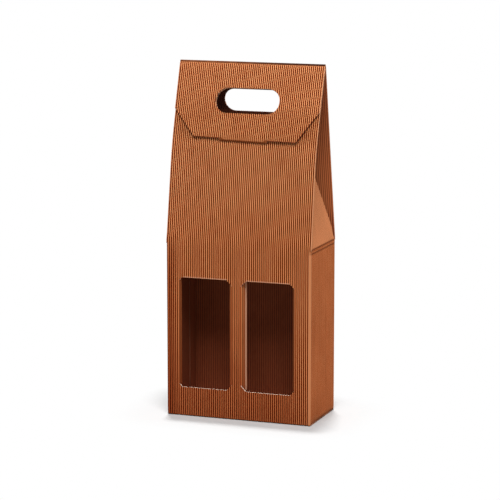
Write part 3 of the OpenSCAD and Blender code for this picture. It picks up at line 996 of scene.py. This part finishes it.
def fold_glue_tab(sheet, plan):
    """Tab that joins the back wall to the inside of the left wall."""
    reach, taper, low, high = 18.0, 12.0, 4.8, plan.wall - 4.8
    clear, spacing = 0.3, 2.45
    x = -plan.side_in + (plan.card - plan.flute)

    def spans(y):
        t = (plan.half_in - clear - y) / reach * taper
        return [(low + t, high - t)]

    def place(y, z):
        return (x, y, z), (-1.0, 0.0, 0.0), y / spacing, 1.0, 0.0

    columns = [plan.half_in - clear - reach * i / 8 for i in range(9)][::-1]
    sheet.patch(columns, spans, [30, 80, 130, 170], place)


def fold_ridge(sheet, plan):
    """Pressed card that rolls over the ridge from the back gable to the closing flap."""
    turn = math.pi - plan.front_tilt - plan.back_tilt
    cos, sin = math.cos(plan.back_tilt), math.sin(plan.back_tilt)
    start = plan.hinge_y + plan.ridge_gap * cos + plan.crease * sin
    height = plan.hinge_z + plan.ridge_gap * sin - plan.crease * cos
    profile = Profile(start, height, plan.back_tilt)
    profile.line(plan.crease).arc(plan.ridge_gap, turn).line(plan.crease)
    edge, strips = plan.width / 2, 68

    def place(x, v):
        y, z, heading = profile.at(v)
        return (x, y, z), (0.0, math.cos(heading), math.sin(heading)), x / plan.pitch, 1.0, 0.0

    columns = [-edge + 2 * edge * i / strips for i in range(strips + 1)]
    sheet.patch(columns, lambda x: [(0.0, profile.end)], profile.rows(10) + [0.8, 1.6], place)


def fold_flap(sheet, plan):
    """Closing flap with its hand slot, and the tongue that tucks into the slit."""
    edge, tips = plan.width / 2, (plan.flap_tip / 2, plan.flap_tip / 2 + plan.flap_wide)
    inner_r = math.hypot(plan.tongue_drop, plan.ridge_gap) - plan.flap_gap - plan.card
    first, step = plan.flutes(plan.width)
    curl, rounding, slack_from, lift_from = 1.0, 6, 58, 48
    bend_at, bend = inner_r - curl, curl * math.pi / 2
    half, rise = plan.tongue / 2, plan.foot_run + plan.bend_drop
    cos, sin = math.cos(plan.front_tilt), math.sin(plan.front_tilt)

    def spans(x):
        slot = plan.slot_hole(x)
        if abs(x) < half:
            into = max(0.0, abs(x) - half + rounding)
            low = bend_at + bend + plan.tongue_len - (rounding - math.sqrt(rounding**2 - into * into))
        else:
            tip = tips[x > 0]
            slope = (plan.flap - plan.flap_side) / (edge - tip)
            low = plan.flap - soft_ramp((abs(x) - tip) * slope, 3.0)
        return without((plan.crease, low), [slot])

    def place(x, v):
        sag = plan.flap_sag(x)
        along = v + sag * smooth(slack_from, plan.flap, v)
        y, z, ny, nz = -plan.ridge_gap, -along, -1.0, 0.0
        if v > bend_at and abs(x) <= half + 1e-4:
            past = v - bend_at
            if past < bend:
                a = past / curl
                y, z = y + curl * (1 - math.cos(a)), -bend_at - sag - curl * math.sin(a)
                ny, nz = -math.cos(a), -math.sin(a)
            else:
                r = inner_r + sag
                a = math.asin((curl - plan.ridge_gap) / r) + (past - bend) / r
                y, z = r * math.sin(a), -r * math.cos(a)
                ny, nz = math.sin(a), -math.cos(a)
        down = min(along, plan.tongue_drop + sag)
        y -= plan.lift * smooth(lift_from, plan.flap, down) + plan.bulge_at(x, 1 - down / rise) / cos
        press = 1 - smooth(plan.crease + 0.1, plan.crease + 1.5, v)
        if v > bend_at - 1:
            press = max(press, 0.6)
        spot = (x, plan.hinge_y + y * cos + z * sin, plan.hinge_z - y * sin + z * cos)
        normal = (0.0, ny * cos + nz * sin, -ny * sin + nz * cos)
        return spot, normal, (x - first) / step, press, 0.0, spans(x)[-1][1] - v

    stops = [half, -half, tips[1], -tips[0]] + plan.slot_stops()
    rows = [plan.crease + s for s in (0.3, 0.6, 1.0, 1.5)] + [12, 24, 48, 58, 66, 73, 79, 82.5, bend_at]
    rows += [bend_at + bend * i / PER_BEND for i in range(1, PER_BEND + 1)]
    rows += [bend_at + bend + s for s in (3, 6, 9, 12)]
    sheet.patch(plan.columns(plan.width, edge, stops), spans, rows, place)


class CARTON_OT_box(Operator):
    """Fold the walls, gables, gussets, flanges and bottom from one sheet"""

    bl_idname = "carton.box"
    bl_label = "Carton"

    def execute(self, context):
        plan, sheet = Plan(context.scene), Sheet()
        fold_front(sheet, plan)
        fold_back(sheet, plan)
        for way in (-1, 1):
            fold_side(sheet, plan, way)
        fold_corners(sheet, plan)
        fold_glue_tab(sheet, plan)
        piece = raise_flutes("folded_carton", sheet)
        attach(piece, "carton")
        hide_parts("carton")
        return {"FINISHED"}


class CARTON_OT_flap(Operator):
    """Fold the closing flap with its tongue"""

    bl_idname = "carton.flap"
    bl_label = "Closing flap"

    def execute(self, context):
        sheet = Sheet()
        fold_flap(sheet, Plan(context.scene))
        piece = raise_flutes("folded_flap", sheet)
        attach(piece, "closing_flap")
        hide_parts("closing_flap")
        return {"FINISHED"}


class CARTON_OT_ridge(Operator):
    """Roll the pressed card over the ridge"""

    bl_idname = "carton.ridge"
    bl_label = "Ridge fold"

    def execute(self, context):
        sheet = Sheet()
        fold_ridge(sheet, Plan(context.scene))
        piece = raise_flutes("ridge_fold", sheet)
        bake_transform(piece)
        return {"FINISHED"}


class CARTON_OT_stage(Operator):
    """Add the floor, the light and the camera"""

    bl_idname = "carton.stage"
    bl_label = "Stage"

    def execute(self, context):
        scene, look = context.scene, context.scene.stage_look
        self.floor(look)
        self.light(scene, look)
        camera = bpy.data.cameras.new("camera")
        camera.lens, camera.sensor_width = look.lens, 36
        camera.clip_end = 100
        view = add_object("camera", camera)
        a, e = look.azimuth, look.elevation
        back = Vector((math.sin(a) * math.cos(e), -math.cos(a) * math.cos(e), math.sin(e)))
        view.location = Vector(look.target) + back * look.distance
        view.rotation_mode = "QUATERNION"
        view.rotation_quaternion = (-back).to_track_quat("-Z", "Y")
        scene.camera = view
        scene.view_settings.view_transform = "Standard"
        return {"FINISHED"}

    def floor(self, look):
        """Pale floor that catches a soft shadow and fades to white a little way from the carton."""
        mesh = bpy.data.meshes.new("floor")
        reach, low = 40.0, -0.0001
        corners = [(sx * reach, sy * reach, low) for sx, sy in ((-1, -1), (1, -1), (1, 1), (-1, 1))]
        mesh.from_pydata(corners, [], [(0, 1, 2, 3)])
        plane = add_object("floor", mesh)
        material, flow = start_material("pale_floor")
        shown = shown_to_view(flow)
        tint = shown.mix((0.38, 0.38, 0.38), look.floor)
        diffuse = flow.node("ShaderNodeBsdfDiffuse", {"Color": tint})
        white = flow.node("ShaderNodeEmission", {"Color": (1, 1, 1, 1), "Strength": 1.0})
        x, y = coordinates(flow)[1:3]
        halves = ((x, CARTON_HIGH.x), (y, CARTON_HIGH.y))
        beyond = [flow.math("MAXIMUM", abs(c) - half, 0.0) for c, half in halves]
        away = (beyond[0] ** 2 + beyond[1] ** 2) ** 0.5
        fade = shown * away.step(0.02, 0.07)
        faded = flow.node("ShaderNodeMixShader", {0: fade, 1: diffuse, 2: white})
        flow.finish("ShaderNodeOutputMaterial", faded)
        mesh.materials.append(material)

    def light(self, scene, look):
        """Soft sky, a broad lamp and a lamp overhead."""
        world = bpy.data.worlds.new("sky")
        scene.world = world
        world.use_nodes = True
        world.node_tree.nodes.clear()
        flow = Flow(world.node_tree)
        shown = shown_to_view(flow)
        strength = shown + (1 - shown) * look.sky
        sky = flow.node("ShaderNodeBackground", {"Color": (1, 1, 1, 1), "Strength": strength})
        flow.finish("ShaderNodeOutputWorld", sky)
        for name, strength, spread, way in (
            ("broad_lamp", look.lamp, 34, (-0.26, 0.64, -1.0)),
            ("overhead_lamp", look.overhead, 5, (0.05, -0.13, -1.0)),
        ):
            lamp = bpy.data.lights.new(name, "SUN")
            lamp.energy, lamp.angle = strength, math.radians(spread)
            sun = add_object(name, lamp)
            sun.rotation_mode = "QUATERNION"
            sun.rotation_quaternion = Vector(way).to_track_quat("-Z", "Y")


class CARTON_PT_panel(Panel):
    """Sizes, colours and steps of the carton"""

    bl_idname = "CARTON_PT_panel"
    bl_label = "Fluted Carton"
    bl_space_type = "VIEW_3D"
    bl_region_type = "UI"
    bl_category = "Carton"

    def draw(self, context):
        for name in GROUPS:
            group, box = getattr(context.scene, name), self.layout.box()
            for field in group.__annotations__:
                box.prop(group, field, text=field.replace("_", " ").capitalize())
        for step in STEPS:
            self.layout.operator(step.bl_idname)


GROUPS = {
    "carton_sizes": CartonSizes,
    "window_sizes": WindowSizes,
    "card_look": CardLook,
    "stage_look": StageLook,
}
STEPS = (CARTON_OT_box, CARTON_OT_flap, CARTON_OT_ridge, CARTON_OT_stage)


def register():
    for cls in (*GROUPS.values(), *STEPS, CARTON_PT_panel):
        bpy.utils.register_class(cls)
    for name, group in GROUPS.items():
        setattr(bpy.types.Scene, name, PointerProperty(type=group))


def unregister():
    for name in GROUPS:
        delattr(bpy.types.Scene, name)
    for cls in reversed((*GROUPS.values(), *STEPS, CARTON_PT_panel)):
        bpy.utils.unregister_class(cls)


def main():
    """Builds every piece and the stage."""
    register()
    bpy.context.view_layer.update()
    bpy.ops.carton.box()
    bpy.ops.carton.flap()
    bpy.ops.carton.ridge()
    bpy.ops.carton.stage()


if __name__ == "__main__":
    main()
